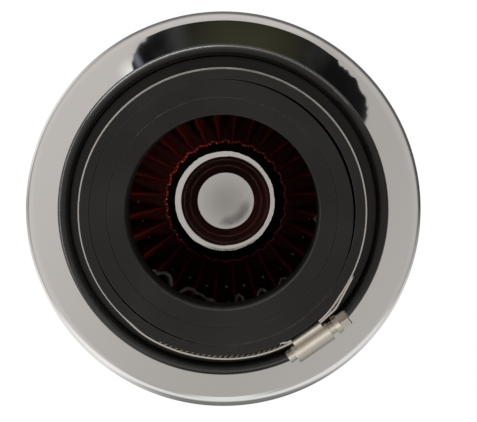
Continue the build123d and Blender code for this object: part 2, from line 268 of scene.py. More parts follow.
# %% Paint the tent
TENT_GREY = 0.462
TENT_PALE_GREY = 0.6
TENT_TINT = (1.0, 0.955, 0.915)
PALE_ANGLE = math.radians(150)
HORIZON_SHARE = 0.5
GABLE_PALE = (0.84, 0.86, 0.85, 1)
ARCH_WHITE = (1.0, 1.0, 0.99, 1)
ARCH_PALE = (0.83, 0.85, 0.84, 1)
MOUTH_GREY = (0.2, 0.195, 0.19, 1)
GLINT_PLACE = (-0.058, 0.046, 0)
GLINT_R = 0.0095
GLINT_WHITE = (0.95, 0.95, 0.9, 1)
tent_paint, tree, shader = new_finish("tent_cloth")
place = object_place(tree)
lean = toward(tree, place, PALE_ANGLE)
direction = vector_node(tree, "NORMALIZE", place)
parts = add_node(tree, "ShaderNodeSeparateXYZ", {0: direction}).outputs
grey = smooth_step(tree, lean, -0.055, 0.105, TENT_GREY, TENT_PALE_GREY)
grey = math_node(tree, "ADD", grey, smooth_step(tree, lean, -0.11, -0.06, 0.03, 0.0))
grey = math_node(tree, "ADD", grey, smooth_step(tree, parts["Z"], 0.75, 0.95, 0.035, 0.0))
grey = math_node(tree, "MULTIPLY", grey, smooth_step(tree, parts["Z"], 0.0, 0.28, HORIZON_SHARE, 1.0))
shade = vector_node(tree, "MULTIPLY", TENT_TINT, grey)
facing_front = math_node(tree, "MULTIPLY", parts["Y"], -1.0)
sideways = math_node(tree, "ABSOLUTE", parts["X"])
aside = math_node(tree, "DIVIDE", sideways, math_node(tree, "MAXIMUM", facing_front, 0.01))
gable = smooth_step(tree, aside, 0.05, 0.27, 1.0, 0.0)
gable = math_node(tree, "MULTIPLY", gable, smooth_step(tree, facing_front, 0.145, 0.17))
shade = mix_colour(tree, gable, shade, GABLE_PALE)
arch_tone = mix_colour(tree, smooth_step(tree, parts["X"], -0.55, -0.2), ARCH_WHITE, ARCH_PALE)
arch = smooth_step(tree, facing_front, cosine(64), cosine(50))
shade = mix_colour(tree, arch, shade, arch_tone)
mouth = smooth_step(tree, facing_front, cosine(37), cosine(13))
shade = mix_colour(tree, mouth, shade, MOUTH_GREY)
overhead = vector_node(tree, "MULTIPLY", direction, (1, 1, 0))
off_glint = vector_node(tree, "DISTANCE", overhead, GLINT_PLACE)
shade = mix_colour(tree, smooth_step(tree, off_glint, 0.0, GLINT_R, 0.9, 0.0), shade, GLINT_WHITE)
glow_only(tree, shade)
tent.data.materials.append(tent_paint)
print("paint:", tent_paint.name)

# %% [markdown]
# ## The dark shape in the ring
#
# The upper part of the trim ring mirrors something dark beside the lens. A flat black card, cut to an arc
# and hung just above the camera, makes the same patch. A ray that bounces off the ring climbs as steeply as
# it fell, so the card is the patch seen from the camera's mirror image, a little more than twice as large.
# Creases, an olive middle and a pale streak near its left end keep it from looking like a hole.

# %% Plan the dark card
plate_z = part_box("trim_ring")[1].z
CARD_Z = 1.35
climb = (CARD_Z - plate_z) / (CAMERA_PLACE[2] - plate_z)
card_centre = Vector((-climb * CAMERA_PLACE[0], -climb * CAMERA_PLACE[1], CARD_Z))
PATCH_IN_R = 0.046
PATCH_LOW_R = 0.066
PATCH_TOP_R = 0.0757
PATCH_RIGHT = 31.5
PATCH_RIGHT_RUN = 25.0
PATCH_LEFT = 122.5
PATCH_LEFT_RUN = 11.0
PATCH_REACH = 0.30
PATCH_REACH_RIGHT = 0.42
REACH_TURN = 95
REACH_TURN_RUN = 35
FLARE_START = 0.8
FLARE_RUN = 0.5


def card_outer_radius(angle):
    """Gives how far out the card reaches at an angle: rounded at its ends, and far over the ring's edge."""
    from_right = max(0.0, 1 - (angle - PATCH_RIGHT) / PATCH_RIGHT_RUN)
    from_left = max(0.0, 1 - (PATCH_LEFT - angle) / PATCH_LEFT_RUN)
    fullness = math.sqrt(max(0.0, 1 - max(from_right, from_left) ** 2))
    radius = (1 + climb) * (PATCH_LOW_R + (PATCH_TOP_R - PATCH_LOW_R) * fullness)
    inside_ends = min((angle - PATCH_RIGHT) / PATCH_RIGHT_RUN, (PATCH_LEFT - angle) / PATCH_LEFT_RUN)
    share = min(1.0, max(0.0, inside_ends - FLARE_START) / FLARE_RUN)
    to_right = min(1.0, max(0.0, (REACH_TURN - angle) / REACH_TURN_RUN))
    reach = PATCH_REACH + (PATCH_REACH_RIGHT - PATCH_REACH) * to_right
    return radius * (reach / radius) ** (share * share * (3 - 2 * share))


print("card hangs", CARD_Z, "m up and grows", round(1 + climb, 3), "times")

# %% Cut the dark card and hang it above the camera
CARD_STEPS = 360
CARD_MIDDLE = 0.75
CARD_RAG = 0.0015
bpy.ops.object.select_all(action="DESELECT")
bpy.ops.mesh.primitive_circle_add(vertices=CARD_STEPS, radius=1.0, location=card_centre)
dark_card = bpy.context.object
dark_card.name = "dark_card"
bpy.ops.object.mode_set(mode="EDIT")
bpy.ops.mesh.select_all(action="SELECT")
bpy.ops.mesh.extrude_edges_move()
bpy.ops.transform.resize(value=(0.5, 0.5, 1.0))
bpy.ops.object.mode_set(mode="OBJECT")
random.seed(4)
for vertex in dark_card.data.vertices:
    angle = math.degrees(math.atan2(vertex.co.y, vertex.co.x))
    outward = vertex.co.normalized()
    if vertex.co.length > CARD_MIDDLE:
        vertex.co = outward * (card_outer_radius(angle) + random.uniform(-CARD_RAG, CARD_RAG))
    else:
        vertex.co = outward * (1 + climb) * PATCH_IN_R
bpy.ops.object.mode_set(mode="EDIT")
bpy.ops.mesh.select_all(action="DESELECT")
bpy.ops.object.mode_set(mode="OBJECT")
for face in dark_card.data.polygons:
    angle = math.degrees(math.atan2(face.center.y, face.center.x))
    face.select = not PATCH_RIGHT < angle < PATCH_LEFT
bpy.ops.object.mode_set(mode="EDIT")
bpy.ops.mesh.delete(type="FACE")
bpy.ops.object.mode_set(mode="OBJECT")
only_in_mirrors(dark_card)
print("dark card with", len(dark_card.data.polygons), "faces")

# %% Paint the dark card
CARD_BLACK = (0.0065, 0.0062, 0.0068, 1)
CARD_OLIVE = (0.036, 0.036, 0.022, 1)
CARD_FAR = (0.014, 0.014, 0.011, 1)
CARD_HAZE = (0.06, 0.062, 0.066, 1)
CARD_STREAK = (0.19, 0.2, 0.26, 1)
CARD_CREASE = (0.05, 0.053, 0.05, 1)


def beside(tree, turn, degrees, start, end, share):
    """Gives a share at one direction that fades to nought between two angles from it, in radians."""
    off = math_node(tree, "ABSOLUTE", math_node(tree, "SUBTRACT", turn, math.radians(degrees)))
    return smooth_step(tree, off, start, end, share, 0.0)


card_paint, tree, shader = new_finish("dark_cloth")
place = object_place(tree)
parts = add_node(tree, "ShaderNodeSeparateXYZ", {0: place}).outputs
turn = math_node(tree, "ARCTAN2", parts["Y"], parts["X"])
shade = mix_colour(tree, beside(tree, turn, 82, 0.1, 0.5, 1.0), CARD_BLACK, CARD_OLIVE)
far_share = smooth_step(tree, vector_node(tree, "LENGTH", place), 0.155, 0.172, 0.0, 0.55)
shade = mix_colour(tree, far_share, shade, CARD_FAR)
shade = mix_colour(tree, beside(tree, turn, 105, 0.0, 0.1, 0.6), shade, CARD_HAZE)
shade = mix_colour(tree, beside(tree, turn, 120, 0.0, 0.035, 0.8), shade, CARD_STREAK)
crumple = {"Vector": place, "Scale": 16.0, "Detail": 4.0, "Distortion": 1.2}
creases = add_node(tree, "ShaderNodeTexNoise", crumple).outputs["Fac"]
shade = mix_colour(tree, smooth_step(tree, creases, 0.46, 0.72, 0.0, 0.45), shade, CARD_CREASE)
glow_only(tree, shade)
dark_card.data.materials.append(card_paint)
print("paint:", card_paint.name)

# %% [markdown]
# ## The lens in the far disc
#
# The flat disc at the bottom of the bore faces the camera, so it mirrors the lens as a soft dark spot,
# darkest in a crescent at the lower right. A small card beside the camera, clear at its edge, dims the tent
# just there.

# %% Hang the lens card
LENS_CARD_R = 0.062
LENS_DROP = 0.01
SPOT_R = 0.042
MOON_ANGLE = math.radians(-52)
MOON_INNER = (0.007, 0.0205)
MOON_OUTER = (0.0222, 0.0248)
disc_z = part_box("end_cap")[0].z + 0.8 * MM
lens_climb = (CARD_Z - disc_z) / (CAMERA_PLACE[2] - disc_z)
lens_place = (-lens_climb * CAMERA_PLACE[0], -lens_climb * CAMERA_PLACE[1], CARD_Z - LENS_DROP)
bpy.ops.object.select_all(action="DESELECT")
bpy.ops.mesh.primitive_circle_add(vertices=48, radius=LENS_CARD_R, fill_type="TRIFAN", location=lens_place)
lens_card = bpy.context.object
lens_card.name = "lens_card"
lens_paint, tree, shader = new_finish("lens_shade")
place = object_place(tree)
from_middle = vector_node(tree, "LENGTH", place)
soft_spot = smooth_step(tree, from_middle, 0.0, SPOT_R, 0.38, 0.0)
moon = smooth_step(tree, toward(tree, place, MOON_ANGLE), cosine(72), cosine(24), 0.0, 0.7)
moon = math_node(tree, "MULTIPLY", moon, smooth_step(tree, from_middle, *MOON_INNER))
moon = math_node(tree, "MULTIPLY", moon, smooth_step(tree, from_middle, *MOON_OUTER, 1.0, 0.0))
dim = math_node(tree, "MAXIMUM", soft_spot, moon)
clear = add_node(tree, "ShaderNodeBsdfTransparent").outputs[0]
black = add_node(tree, "ShaderNodeEmission", {"Color": (0.01, 0.012, 0.012, 1), "Strength": 1.0}).outputs[0]
card_mix = add_node(tree, "ShaderNodeMixShader", {0: dim, 1: clear, 2: black})
tree.links.new(card_mix.outputs[0], tree.nodes["Material Output"].inputs["Surface"])
lens_card.data.materials.append(lens_paint)
only_in_mirrors(lens_card)
print("lens card of", LENS_CARD_R, "m radius")

# %% [markdown]
# ## The floor under the rim
#
# The very edge of the rolled ring looks out to the horizon and then down at the floor. At the right and the
# back it mirrors a dark room and the filter's own shadow, at the left a dark horizon over white floor, and
# in front a grey floor between two white corners. A low mat that only mirrors see is painted by direction,
# near and far.

# %% Choose the mat's tones
MAT_R = 2.25
MAT_Z = 0.0004
MAT_NEAR_R = 0.42
MAT_FAR_R = 0.85
NEAR_TONES = (
    (-180, 0.45),
    (-155, 0.95),
    (-127, 0.85),
    (-102, 0.2),
    (-65, 0.2),
    (-42, 0.75),
    (-25, 0.7),
    (0, 0.08),
    (120, 0.2),
    (145, 0.85),
    (165, 0.9),
    (180, 0.45),
)
FAR_TONES = (
    (-180, 0.22),
    (-150, 0.85),
    (-125, 0.9),
    (-100, 0.28),
    (-75, 0.25),
    (-50, 0.7),
    (-30, 0.6),
    (-5, 0.14),
    (75, 0.2),
    (95, 0.35),
    (150, 0.6),
    (180, 0.22),
)
print("tones round the mat:", len(NEAR_TONES), "near and", len(FAR_TONES), "far")


# %% Lay the mat and paint it
def tones_round(tree, share, tones):
    """Adds a Color Ramp that gives the floor's tone by its direction, from (degrees, tone) pairs."""
    ramp = add_node(tree, "ShaderNodeValToRGB", {"Fac": share})
    ramp_stops = ramp.color_ramp.elements
    while len(ramp_stops) < len(tones):
        ramp_stops.new(1.0)
    for stop, (degrees, tone) in zip(ramp_stops, tones):
        stop.position = (degrees + 180) / 360
        stop.color = (tone, 0.97 * tone, 0.94 * tone, 1)
    return ramp.outputs["Color"]


bpy.ops.object.select_all(action="DESELECT")
bpy.ops.mesh.primitive_circle_add(vertices=64, radius=MAT_R, fill_type="TRIFAN", location=(0, 0, MAT_Z))
mat = bpy.context.object
mat.name = "dark_mat"
mat_paint, tree, shader = new_finish("mat_cloth")
place = object_place(tree)
parts = add_node(tree, "ShaderNodeSeparateXYZ", {0: place}).outputs
turn = math_node(tree, "ARCTAN2", parts["Y"], parts["X"])
share = math_node(tree, "MULTIPLY_ADD", turn, 0.5 / math.pi, 0.5)
far = smooth_step(tree, vector_node(tree, "LENGTH", place), MAT_NEAR_R, MAT_FAR_R)
shade = mix_colour(tree, far, tones_round(tree, share, NEAR_TONES), tones_round(tree, share, FAR_TONES))
glow_only(tree, shade)
mat.data.materials.append(mat_paint)
only_in_mirrors(mat)
print("mat of", MAT_R, "m radius")

# %% [markdown]
# ## Lamps
#
# Soft lamps light the object at a plain level: a key in front at the right, a low one close in front that
# makes the near rubber paler than the far rubber, and a broad one behind that fills the shadows. Long low
# ones behind and at the left draw a pale line along the bead. Three small steep ones reach down the neck:
# the main one to the far folds at the upper left, a weak one to the right, and one to the drops in the near
# pockets. A broad one overhead models the clamp.


# %% Hang the lamps
BEAD_LAMPS = ((66, 6.0), (118, 20.0), (180, 7.0))
BEAD_LAMP_Z = 0.29


def soft_lamp(name, place, aim, width, height, watts):
    """Hangs a soft lamp of a width and height that faces a point."""
    bpy.ops.object.select_all(action="DESELECT")
    bpy.ops.object.light_add(type="AREA", location=place)
    lamp = bpy.context.object
    lamp.name = name
    lamp.data.shape = "RECTANGLE"
    lamp.data.size = width
    lamp.data.size_y = height
    lamp.data.energy = watts
    lamp.rotation_euler = (Vector(aim) - Vector(place)).to_track_quat("-Z", "Y").to_euler()
    return lamp


room_lamps = [
    soft_lamp("key_lamp", (0.55, -0.95, 1.15), (0, 0, 0.12), 0.7, 0.7, 2.6),
    soft_lamp("front_lamp", (-0.10, -0.32, 0.45), (0, -0.03, 0.17), 0.45, 0.45, 0.4),
    soft_lamp("fill_lamp", (-0.7, 0.8, 1.5), (0, 0, 0.12), 1.2, 1.2, 3.0),
]
for degrees, watts in BEAD_LAMPS:
    angle = math.radians(degrees)
    place = (math.cos(angle), math.sin(angle), BEAD_LAMP_Z)
    room_lamps.append(soft_lamp(f"bead_lamp_{degrees}", place, (0, 0, 0.13), 1.0, 0.34, watts))
neck_lamps = [
    soft_lamp("neck_lamp", (0.33, -0.16, 1.25), (0, 0, 0.05), 0.16, 0.16, 3.2),
    soft_lamp("side_lamp", (-0.22, -0.10, 1.30), (0, 0, 0.05), 0.12, 0.12, 0.9),
]
clamp_lamp = soft_lamp("clamp_lamp", (0.20, -0.30, 1.30), (0.04, -0.06, 0.15), 0.9, 0.9, 2.9)
pocket_lamp = soft_lamp("pocket_lamp", (-0.05, 0.28, 1.30), (0, 0, 0.05), 0.12, 0.12, 1.6)
print("lamps:", [lamp.name for lamp in room_lamps + neck_lamps + [clamp_lamp, pocket_lamp]])

# %% [markdown]
# ## Grain that several finishes share
#
# Rubber, potting and metal all carry two sizes of unevenness: a fine grain left by the mould or the
# polishing wheel, and a slow drift in tone from handling. One node group makes both from the object's own
# coordinates, and each finish places it with its own scale.

# %% Build the shared grain group
NOISE_RANGE = (0.3, 0.7)
grain_group = bpy.data.node_groups.new("grain_and_drift", "ShaderNodeTree")
grain_group.interface.new_socket("Vector", in_out="INPUT", socket_type="NodeSocketVector")
for socket_name in ("Grain Scale", "Drift Scale"):
    grain_group.interface.new_socket(socket_name, in_out="INPUT", socket_type="NodeSocketFloat")
for socket_name in ("Grain", "Drift"):
    grain_group.interface.new_socket(socket_name, in_out="OUTPUT", socket_type="NodeSocketFloat")
group_in = grain_group.nodes.new("NodeGroupInput").outputs
group_out = grain_group.nodes.new("NodeGroupOutput")
grain = add_node(
    grain_group,
    "ShaderNodeTexNoise",
    {"Vector": group_in["Vector"], "Scale": group_in["Grain Scale"], "Detail": 4.0, "Roughness": 0.6},
).outputs["Fac"]
drift = add_node(
    grain_group,
    "ShaderNodeTexNoise",
    {"Vector": group_in["Vector"], "Scale": group_in["Drift Scale"], "Detail": 3.0, "Roughness": 0.5},
).outputs["Fac"]
grain_group.links.new(grain, group_out.inputs["Grain"])
grain_group.links.new(smooth_step(grain_group, drift, *NOISE_RANGE), group_out.inputs["Drift"])


def grain_and_drift(tree, grain_scale, drift_scale, vector=None):
    """Places the shared grain group in a material and gives its two outputs."""
    if vector is None:
        vector = object_place(tree)
    inputs = {"Vector": vector, "Grain Scale": grain_scale, "Drift Scale": drift_scale}
    placed = add_node(tree, "ShaderNodeGroup", inputs, node_tree=grain_group).outputs
    return placed["Grain"], placed["Drift"]


def bump_into(tree, shader, height, distance):
    """Feeds a height through a Bump node into the shader's Normal."""
    bump = add_node(tree, "ShaderNodeBump", {"Height": height, "Distance": distance, "Strength": 1.0})
    tree.links.new(bump.outputs[0], shader.inputs["Normal"])


print("shared group:", grain_group.name)

# %% [markdown]
# ## Moulded black rubber
#
# The base and its two sleeves are moulded rubber. Its own colour is almost black, and the grey that we see
# is a broad, weak sheen of the tent, stronger where the bead turns edge-on. Handling leaves some patches
# drier, and inside the neck the mould has left it quite matte.

# %% Mix the rubber
IN_NECK_R = 45.5 * MM
IN_NECK_FADE = 0.5 * MM
MOUTH_Z = cad_high.z
NECK_ROUGHNESS = 0.85
rubber, tree, shader = new_finish("moulded_rubber")
grain, drift = grain_and_drift(tree, 1400.0, 28.0)
tone = mix_colour(tree, drift, (0.0032, 0.0030, 0.0020, 1), (0.0048, 0.0046, 0.0032, 1))
tree.links.new(tone, shader.inputs["Base Color"])
place = object_place(tree)
height = add_node(tree, "ShaderNodeSeparateXYZ", {0: place}).outputs["Z"]
in_neck = smooth_step(tree, off_axis(tree, place), IN_NECK_R, IN_NECK_R + IN_NECK_FADE, 1.0, 0.0)
below_mouth = smooth_step(tree, height, MOUTH_Z - 0.1 * MM, MOUTH_Z - 0.03 * MM, 1.0, 0.0)
in_neck = math_node(tree, "MULTIPLY", in_neck, below_mouth)
sheen = smooth_step(tree, drift, 0.0, 1.0, 0.26, 0.34)
rough = mix_value(tree, in_neck, sheen, NECK_ROUGHNESS)
tree.links.new(rough, shader.inputs["Roughness"])
shader.inputs["IOR"].default_value = 1.43
bump_into(tree, shader, grain, 0.000008)
print("finish:", rubber.name)

# %% [markdown]
# ## Chrome plate
#
# The trim ring and the end cap are pressed steel with bright chrome. A perfect mirror looks drawn, so a
# faint wheel-polish haze varies the roughness and a slow ripple of the pressing bends the reflections a
# little.

# %% Mix the chrome
CHROME_HAZE = (0.012, 0.028)
chrome, tree, shader = new_finish("chrome_plate")
grain, drift = grain_and_drift(tree, 900.0, 22.0)
shader.inputs["Base Color"].default_value = (0.83, 0.82, 0.81, 1)
shader.inputs["Metallic"].default_value = 1.0
tree.links.new(smooth_step(tree, drift, 0.0, 1.0, *CHROME_HAZE), shader.inputs["Roughness"])
bump_into(tree, shader, drift, 0.000003)
print("finish:", chrome.name)

# %% [markdown]
# ## The cap inside, dusty and smeared
#
# The same chrome deep in the filter is hazed by oil mist. Its pressed wall is dull and shows two faint tool
# lines, and its warm red tint is a painted reflection of the red folds. The ring next to the potting is
# mottled, with black smears where the potting was wiped off.

# %% Haze the chrome of the cap
CAP_DISC_R = 12.8 * MM
CAP_RING_R = 20.2 * MM
TOOL_LINES = (15.9 * MM, 18.6 * MM)
LINE_HALF = 0.3 * MM
WALL_ROUGHNESS = 0.32
LINE_ROUGHNESS = 0.7
SMEAR_R = 21.3 * MM
SMEAR_ANGLE = math.radians(-82)
cap_chrome, tree, shader = new_finish("hazed_chrome")
grain, drift = grain_and_drift(tree, 2600.0, 300.0)
place = object_place(tree)
from_axis = off_axis(tree, place)
on_wall = smooth_step(tree, from_axis, CAP_DISC_R, CAP_DISC_R + 0.4 * MM)
before_ring = smooth_step(tree, from_axis, CAP_RING_R - 0.3 * MM, CAP_RING_R, 1.0, 0.0)
on_wall = math_node(tree, "MULTIPLY", on_wall, before_ring)
mottle = smooth_step(tree, grain, 0.42, 0.72, 0.0, 0.35)
tone = mix_colour(tree, mottle, (0.82, 0.81, 0.79, 1), (0.52, 0.50, 0.48, 1))
# The wall's warm red tint is painted reflection of the red folds, not a colour of the chrome.
tone = mix_colour(tree, on_wall, tone, (1.0, 0.66, 0.54, 1))
line_marks = []
for line_r in TOOL_LINES:
    off_line = math_node(tree, "ABSOLUTE", math_node(tree, "SUBTRACT", from_axis, line_r))
    line_marks.append(smooth_step(tree, off_line, 0.0, LINE_HALF, 0.5, 0.0))
line_mark = math_node(tree, "MAXIMUM", *line_marks)
tone = mix_colour(tree, line_mark, tone, (0.95, 0.88, 0.84, 1))
bump_into(tree, shader, line_mark, 0.0001)
flat_place = vector_node(tree, "MULTIPLY", place, (1, 1, 0))
smear = smooth_step(tree, toward(tree, flat_place, SMEAR_ANGLE), cosine(38), cosine(15))
smear = math_node(tree, "MULTIPLY", smear, smooth_step(tree, from_axis, SMEAR_R, SMEAR_R + 0.5 * MM))
smear = math_node(tree, "MULTIPLY", smear, smooth_step(tree, grain, 0.42, 0.56))
tone = mix_colour(tree, smear, tone, (0.012, 0.011, 0.010, 1))
tree.links.new(tone, shader.inputs["Base Color"])
shader.inputs["Metallic"].default_value = 1.0
haze = smooth_step(tree, drift, 0.0, 1.0, *CHROME_HAZE)
rough = mix_value(tree, on_wall, haze, WALL_ROUGHNESS)
rough = mix_value(tree, line_mark, rough, LINE_ROUGHNESS)
tree.links.new(rough, shader.inputs["Roughness"])
print("finish:", cap_chrome.name)

# %% [markdown]
# ## Stainless strip
#
# The clamp is stainless, warmer and softer than chrome. Rolling leaves fine lines along the strip, which on
# the standing band run round the neck, so the grain is stretched along the strip and tight across it. The
# pressed housing and the screw are duller than the rolled band.


# %% Mix the stainless
def mix_stainless(name, dull, bright, smooth, rough):
    """Makes a stainless finish between two tones and two roughnesses."""
    material, tree, shader = new_finish(name)
    stretch = {"Vector": object_place(tree), "Scale": (0.06, 0.06, 1.0)}
    lines = add_node(tree, "ShaderNodeMapping", stretch).outputs[0]
    grain, drift = grain_and_drift(tree, 2000.0, 60.0, lines)
    tree.links.new(mix_colour(tree, drift, dull, bright), shader.inputs["Base Color"])
    shader.inputs["Metallic"].default_value = 1.0
    tree.links.new(smooth_step(tree, grain, *NOISE_RANGE, smooth, rough), shader.inputs["Roughness"])
    bump_into(tree, shader, grain, 0.000004)
    print("finish:", name)
    return material


stainless = mix_stainless("rolled_stainless", (0.70, 0.66, 0.60, 1), (0.80, 0.76, 0.70, 1), 0.17, 0.26)
pressed = mix_stainless("pressed_stainless", (0.47, 0.43, 0.37, 1), (0.53, 0.485, 0.42, 1), 0.34, 0.42)

# %% [markdown]
# ## Satin black potting
#
# Potting is a poured resin or rubber that sets with a satin skin and soft flow marks. Between the folds the
# red oil has run down onto it, so the pockets are a very dark red.

# %% Mix the potting
OIL_RUN_START = 26.0 * MM
OIL_RUN_FULL = 28.5 * MM
potting, tree, shader = new_finish("poured_potting")
grain, drift = grain_and_drift(tree, 700.0, 60.0)
tone = mix_colour(tree, drift, (0.0035, 0.0014, 0.0010, 1), (0.0070, 0.0024, 0.0016, 1))
oil_run = smooth_step(tree, off_axis(tree, object_place(tree)), OIL_RUN_START, OIL_RUN_FULL)
tone = mix_colour(tree, oil_run, tone, (0.03, 0.0022, 0.0014, 1))
tree.links.new(tone, shader.inputs["Base Color"])
shader.inputs["Specular IOR Level"].default_value = 0.05
tree.links.new(smooth_step(tree, grain, *NOISE_RANGE, 0.45, 0.65), shader.inputs["Roughness"])
bump_into(tree, shader, drift, 0.0002)
print("finish:", potting.name)

# %% [markdown]
# ## The pleated gauze
#
# Oiled cotton gauze lies between two wire screens, and the pack is folded to and fro like a paper fan, then
# closed into a cone. Cloth simulation would crumple it, but the screens make it stiff. So one fold is
# shaped from a grid, with a rounded crest outside, two flat flanks and a tight root inside, and that fold
# is spun round the axis.

# %% Draw the section of one fold
PLEAT_COUNT = 28
PLEAT_DEPTH = 21.6 * MM
PLEAT_SHEET = 0.6 * MM
CREST_R = 0.7 * MM
ROOT_R = 0.35 * MM
PLEAT_TIP_R = 48.8 * MM
HALF_STEP = math.pi / PLEAT_COUNT
ARC_STEPS = 3
FLANK_STEPS = 7
pleat_low, pleat_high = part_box("pleated_media")
PLEAT_BASE_R = pleat_high.x


def fold_section(outside_r):
    """Gives the points across one fold at its outside radius, from root over crest to root."""
    crest = Vector((outside_r - PLEAT_SHEET / 2 - CREST_R, 0, 0))
    root_r = outside_r - PLEAT_DEPTH + PLEAT_SHEET / 2 + ROOT_R
    root = Vector((root_r * math.cos(HALF_STEP), root_r * math.sin(HALF_STEP), 0))
    span = root - crest
    lean = math.acos((CREST_R + ROOT_R) / span.length)
    across = math.atan2(span.y, span.x) - lean
    half = []
    for step in range(ARC_STEPS + 1):
        turn = across * step / ARC_STEPS
        half.append(crest + CREST_R * Vector((math.cos(turn), math.sin(turn), 0)))
    root_start = root - ROOT_R * Vector((math.cos(across), math.sin(across), 0))
    for step in range(1, FLANK_STEPS):
        half.append(half[ARC_STEPS].lerp(root_start, step / FLANK_STEPS))
    for step in range(ARC_STEPS + 1):
        turn = across + math.pi + (HALF_STEP - across) * step / ARC_STEPS
        half.append(root + ROOT_R * Vector((math.cos(turn), math.sin(turn), 0)))
    other_half = [Vector((point.x, -point.y, 0)) for point in half[:0:-1]]
    return other_half + half


tip_section = fold_section(PLEAT_TIP_R)
base_section = fold_section(PLEAT_BASE_R)
print("points across one fold:", len(tip_section))

# %% Shape one fold from a grid
PLEAT_SUNK = 0.6 * MM
FOLD_ROWS = 20
ROW_CROWDING = 1.5
fold_columns = len(tip_section) - 1
bpy.ops.object.select_all(action="DESELECT")
bpy.ops.mesh.primitive_grid_add(x_subdivisions=fold_columns, y_subdivisions=FOLD_ROWS, size=2.0)
gauze = bpy.context.object
gauze.name = "pleated_gauze"
fold_places = []
for vertex in gauze.data.vertices:
    column = round((vertex.co.x + 1) / 2 * fold_columns)
    row = round((vertex.co.y + 1) / 2 * FOLD_ROWS)
    fold_places.append((column, row))
run_lengths = [0.0]
for before, after in zip(base_section, base_section[1:]):
    run_lengths.append(run_lengths[-1] + (after - before).length)
fold_bottom = pleat_low.z - PLEAT_SUNK
for vertex, (column, row) in zip(gauze.data.vertices, fold_places):
    height = (row / FOLD_ROWS) ** ROW_CROWDING
    vertex.co = tip_section[column].lerp(base_section[column], height)
    vertex.co.z = fold_bottom + (pleat_high.z - fold_bottom) * height
weave_map = gauze.data.uv_layers.active.data
for loop in gauze.data.loops:
    column, row = fold_places[loop.vertex_index]
    weave_map[loop.index].uv = (run_lengths[column] / run_lengths[-1], (row / FOLD_ROWS) ** ROW_CROWDING)
print("one fold:", len(gauze.data.vertices), "points,", round(1000 * run_lengths[-1], 1), "mm of sheet")

# %% Spin the fold round the axis and make the folds uneven
FOLD_UNEVEN = 0.55 * MM
UNEVEN_WAVE = 70.0
FADE_LENGTH = 14 * MM
FADE_LEAST = 0.3
SWELL_SHIFT = Vector((9.0, 4.0, 2.0))
bpy.ops.object.mode_set(mode="EDIT")
bpy.ops.mesh.select_all(action="SELECT")
bpy.ops.mesh.spin(
    steps=PLEAT_COUNT - 1,
    dupli=True,
    angle=2 * math.pi * (PLEAT_COUNT - 1) / PLEAT_COUNT,
    center=(0, 0, 0),
    axis=(0, 0, 1),
)
bpy.ops.mesh.select_all(action="SELECT")
bpy.ops.mesh.remove_doubles(threshold=0.00001)
bpy.ops.mesh.normals_make_consistent(inside=False)
bpy.ops.object.mode_set(mode="OBJECT")
for vertex in gauze.data.vertices:
    spot = vertex.co * UNEVEN_WAVE
    side = Vector((-vertex.co.y, vertex.co.x, 0)).normalized()
    outward = Vector((vertex.co.x, vertex.co.y, 0)).normalized()
    from_ends = min(vertex.co.z - fold_bottom, pleat_high.z - vertex.co.z)
    fade = min(1.0, FADE_LEAST + from_ends / FADE_LENGTH)
    sway = noise.noise(spot) * FOLD_UNEVEN * fade
    swell = noise.noise(spot + SWELL_SHIFT) * FOLD_UNEVEN * fade
    vertex.co += side * sway + outward * swell
thicken = gauze.modifiers.new("sheet", "SOLIDIFY")
thicken.thickness = PLEAT_SHEET
thicken.offset = 0.0
bpy.ops.object.modifier_apply(modifier=thicken.name)
bpy.ops.object.shade_smooth_by_angle(angle=math.radians(50))
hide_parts("pleated_media")
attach(gauze, "filter")
print("gauze:", len(gauze.data.polygons), "faces")

# %% [markdown]
# ## Oiled gauze under a wire screen
#
# Seen close, the sheet is deep red cotton, dark with oil, behind a grid of fine coated wire. The pattern
# follows the sheet through its own map, so it turns with every fold. At the foot of the folds the potting
# has drawn up the oil: there the cloth is wet, redder and shinier.

# %% Mix the gauze
WIRES_ACROSS = 27.0
WIRES_UP = 76.0
WET_HEIGHT = 0.035
WET_ROUGHNESS = 0.2
gauze_cloth, tree, shader = new_finish("oiled_gauze")
weave = add_node(tree, "ShaderNodeTexCoord").outputs["UV"]
across, up = add_node(tree, "ShaderNodeSeparateXYZ", {0: weave}).outputs[:2]
wire_marks = []
for run, count in ((across, WIRES_ACROSS), (up, WIRES_UP)):
    saw = math_node(tree, "PINGPONG", math_node(tree, "MULTIPLY", run, count), 0.5)
    wire_marks.append(smooth_step(tree, saw, 0.34, 0.44))
wire = math_node(tree, "MAXIMUM", *wire_marks)
grain, drift = grain_and_drift(tree, 1800.0, 45.0)
cloth = mix_colour(tree, drift, (0.15, 0.016, 0.010, 1), (0.24, 0.026, 0.017, 1))
wet = smooth_step(tree, up, 0.0, WET_HEIGHT, 1.0, 0.0)
cloth = mix_colour(tree, wet, cloth, (0.30, 0.016, 0.012, 1))
cloth = mix_colour(tree, math_node(tree, "MULTIPLY", wire, 0.6), cloth, (0.05, 0.012, 0.010, 1))
tree.links.new(cloth, shader.inputs["Base Color"])
dry = smooth_step(tree, wire, 0.0, 1.0, 0.75, 0.42)
rough = mix_value(tree, wet, dry, WET_ROUGHNESS)
tree.links.new(rough, shader.inputs["Roughness"])
shader.inputs["Specular IOR Level"].default_value = 0.05
relief = math_node(tree, "MULTIPLY_ADD", grain, 0.4, wire)
bump_into(tree, shader, relief, 0.00012)
gauze.data.materials.append(gauze_cloth)
print("finish:", gauze_cloth.name)

# %% [markdown]
# ## Where the folds enter the potting
#
# The potting creeps up the foot of every fold and carries red oil with it, as a wet red ring. The ring is
# made full at the upper left, where the neck lamp lights it, and thin at the lower right: that swell by
# direction is painted light. A torus is cut finer, scalloped in and out with the folds, and its tube swells
# and thins.

# %% Scallop the wet ring
WET_R = 27.0 * MM
WET_TUBE_R = 0.8 * MM
WET_SCALLOP = 0.45 * MM
WET_SWELL = 0.3
WET_LUMPS = 0.35
LUMP_WAVE = 900
LIT_FULL_ANGLE = math.radians(135)
WET_LEAST = 0.33


